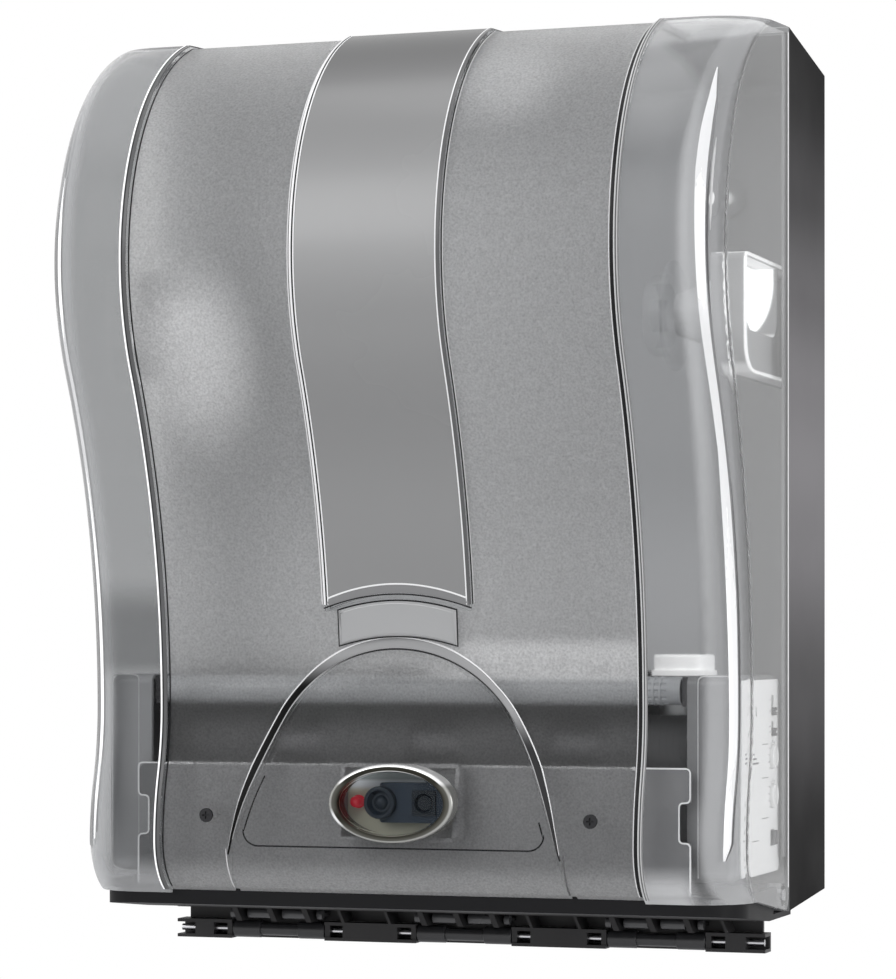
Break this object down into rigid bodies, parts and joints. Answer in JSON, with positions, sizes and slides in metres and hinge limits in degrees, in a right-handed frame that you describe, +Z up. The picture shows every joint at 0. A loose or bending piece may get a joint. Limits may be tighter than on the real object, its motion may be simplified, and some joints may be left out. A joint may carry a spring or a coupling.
{
  "type": "automatic roll towel dispenser",
  "caption": "Wall-mounted automatic roll towel dispenser with a waisted smoked cover, bottom hinge, oval hand sensor, feed rollers, roll arms and side controls.",
  "frame": {"origin": "middle of the four wall screws, on the rear face that meets the wall", "axes": "+X to the viewer's right, the front faces -Y, +Y into the wall, +Z up"},
  "size_m": [0.3, 0.216, 0.4079],
  "materials": {
    "smoked_clear": "smoked see-through plastic, satin outside",
    "inlay_clear": "smooth smoked inlay",
    "badge_silver": "plain satin silver",
    "housing_black": "dark satin plastic",
    "tray_black": "dark plastic",
    "mechanism_grey": "dark grey plastic",
    "arm_grey": "grey plastic",
    "white_plastic": "white plastic",
    "control_black": "black plastic",
    "bezel_bright": "bright silver plastic",
    "lens_clear": "clear window",
    "board_cream": "bare board",
    "board_green": "green board",
    "module_navy": "dark blue plastic",
    "red_lamp": "red lamp",
    "steel": "bright steel",
    "blade_steel": "ground steel",
    "rubber_grey": "soft rubber",
    "gear_white": "natural plastic",
    "hub_clear": "see-through plastic",
    "cell_wrap": "plain battery wrap",
    "contact_brass": "plated contact"
  },
  "bodies": {
    "housing": {"rear_housing": "housing_black", "base_tray": "tray_black", "tear_bar": "blade_steel", "hinge_pins": "steel", "case_screws": "steel", "lock_catch": "steel", "exit_guide": "tray_black", "exit_bars": "arm_grey", "exit_rail": "tray_black", "exit_rod": "steel", "mechanism_chassis": "mechanism_grey", "roller_bushes": "gear_white", "left_end_cap": "mechanism_grey", "right_end_cap": "mechanism_grey", "front_guide_plate": "mechanism_grey", "gearbox": "mechanism_grey", "motor": "steel", "motor_cap": "white_plastic", "main_board": "board_green", "dc_jack": "control_black", "battery_box": "mechanism_grey", "battery_cells": "cell_wrap", "battery_contacts": "contact_brass", "control_label": "white_plastic", "control_board": "board_green", "arm_pins": "steel"},
    "cover": {"front_cover": "smoked_clear", "centre_panel": "inlay_clear", "badge_plate": "badge_silver", "cover_screws": "steel", "sensor_bezel": "bezel_bright", "sensor_lens": "lens_clear", "sensor_holder": "mechanism_grey", "sensor_board": "board_cream", "sensor_module": "module_navy", "sensor_emitter": "gear_white", "sensor_receiver": "board_cream", "indicator_led": "red_lamp"},
    "lock": {"lock_barrel": "steel", "lock_cam": "steel"},
    "battery_door": {"battery_lid": "mechanism_grey"},
    "feed_drive": {"feed_roller": "steel", "feed_sleeves": "rubber_grey", "roller_gear": "gear_white"},
    "pressure": {"pressure_roller": "rubber_grey"},
    "guide": {"guide_roller": "arm_grey"},
    "idler": {"idler_gear": "gear_white"},
    "pinion": {"drive_pinion": "gear_white"},
    "spool_left": {"exit_roller_left": "tray_black"},
    "spool_centre": {"exit_roller_centre": "tray_black"},
    "spool_right": {"exit_roller_right": "tray_black"},
    "switch_power": {"power_switch": "control_black"},
    "switch_mode": {"mode_switch": "control_black"},
    "knob_length": {"length_knob": "control_black"},
    "knob_delay": {"delay_knob": "control_black"},
    "button_feed": {"feed_button": "control_black"},
    "arm_left": {"roll_arm_left": "arm_grey"},
    "arm_right": {"roll_arm_right": "arm_grey"},
    "hub_left": {"roll_hub_left": "hub_clear"},
    "hub_right": {"roll_hub_right": "hub_clear"}
  },
  "joints": [
    {"name": "cover_hinge", "type": "hinge", "parent": "housing", "child": "cover", "pos_m": [0, -0.0875, -0.187], "axis": [1, 0, 0], "range_deg": [0, 85]},
    {"name": "lock_turn", "type": "hinge", "parent": "cover", "child": "lock", "pos_m": [0, -0.1, 0.184], "axis": [0, 0, 1], "range_deg": [0, 90]},
    {"name": "battery_lid_hinge", "type": "hinge", "parent": "housing", "child": "battery_door", "pos_m": [0, -0.01, -0.0928], "axis": [-1, 0, 0], "range_deg": [0, 90]},
    {"name": "feed_roller_spin", "type": "hinge", "parent": "housing", "child": "feed_drive", "pos_m": [0, -0.114, -0.122], "axis": [1, 0, 0], "continuous": true},
    {"name": "pressure_roller_spin", "type": "hinge", "parent": "housing", "child": "pressure", "pos_m": [0, -0.09165, -0.124], "axis": [1, 0, 0], "continuous": true},
    {"name": "idler_gear_spin", "type": "hinge", "parent": "housing", "child": "idler", "pos_m": [0.1267, -0.09793, -0.14115], "axis": [1, 0, 0], "continuous": true},
    {"name": "drive_pinion_spin", "type": "hinge", "parent": "housing", "child": "pinion", "pos_m": [0.1267, -0.08765, -0.15341], "axis": [1, 0, 0], "continuous": true},
    {"name": "guide_roller_spin", "type": "hinge", "parent": "housing", "child": "guide", "pos_m": [0, -0.143, -0.097], "axis": [1, 0, 0], "continuous": true},
    {"name": "exit_roller_left_spin", "type": "hinge", "parent": "housing", "child": "spool_left", "pos_m": [-0.09, -0.079, -0.209], "axis": [1, 0, 0], "continuous": true},
    {"name": "exit_roller_centre_spin", "type": "hinge", "parent": "housing", "child": "spool_centre", "pos_m": [0, -0.079, -0.209], "axis": [1, 0, 0], "continuous": true},
    {"name": "exit_roller_right_spin", "type": "hinge", "parent": "housing", "child": "spool_right", "pos_m": [0.09, -0.079, -0.209], "axis": [1, 0, 0], "continuous": true},
    {"name": "arm_left_flex", "type": "hinge", "parent": "housing", "child": "arm_left", "pos_m": [-0.135, -0.011, 0.0655], "axis": [0, 0, -1], "range_deg": [0, 2.2], "stiffness_Nm_per_rad": 12, "springref_deg": -0.57},
    {"name": "arm_right_flex", "type": "hinge", "parent": "housing", "child": "arm_right", "pos_m": [0.135, -0.011, 0.0655], "axis": [0, 0, 1], "range_deg": [0, 2.2], "stiffness_Nm_per_rad": 12, "springref_deg": -0.57},
    {"name": "roll_hub_left_spin", "type": "hinge", "parent": "arm_left", "child": "hub_left", "pos_m": [-0.11, -0.113, 0.066], "axis": [1, 0, 0], "continuous": true},
    {"name": "roll_hub_right_spin", "type": "hinge", "parent": "arm_right", "child": "hub_right", "pos_m": [0.11, -0.113, 0.066], "axis": [1, 0, 0], "continuous": true},
    {"name": "power_switch_slide", "type": "slide", "parent": "housing", "child": "switch_power", "axis": [0, 0, 1], "range_m": [0, 0.005]},
    {"name": "mode_switch_slide", "type": "slide", "parent": "housing", "child": "switch_mode", "axis": [0, 0, 1], "range_m": [0, 0.0025]},
    {"name": "length_knob_turn", "type": "hinge", "parent": "housing", "child": "knob_length", "pos_m": [0.144, -0.092, -0.1263], "axis": [1, 0, 0], "range_deg": [-135, 135]},
    {"name": "delay_knob_turn", "type": "hinge", "parent": "housing", "child": "knob_delay", "pos_m": [0.144, -0.092, -0.1433], "axis": [1, 0, 0], "range_deg": [-135, 135]},
    {"name": "feed_button_press", "type": "slide", "parent": "housing", "child": "button_feed", "axis": [-1, 0, 0], "range_m": [0, 0.0015], "stiffness_N_per_m": 500, "springref_m": -0.001}
  ],
  "couplings": [
    {"joint": "pressure_roller_spin", "follows": "feed_roller_spin", "ratio": -1.75},
    {"joint": "idler_gear_spin", "follows": "feed_roller_spin", "ratio": -1.5},
    {"joint": "drive_pinion_spin", "follows": "feed_roller_spin", "ratio": 2.5}
  ]
}
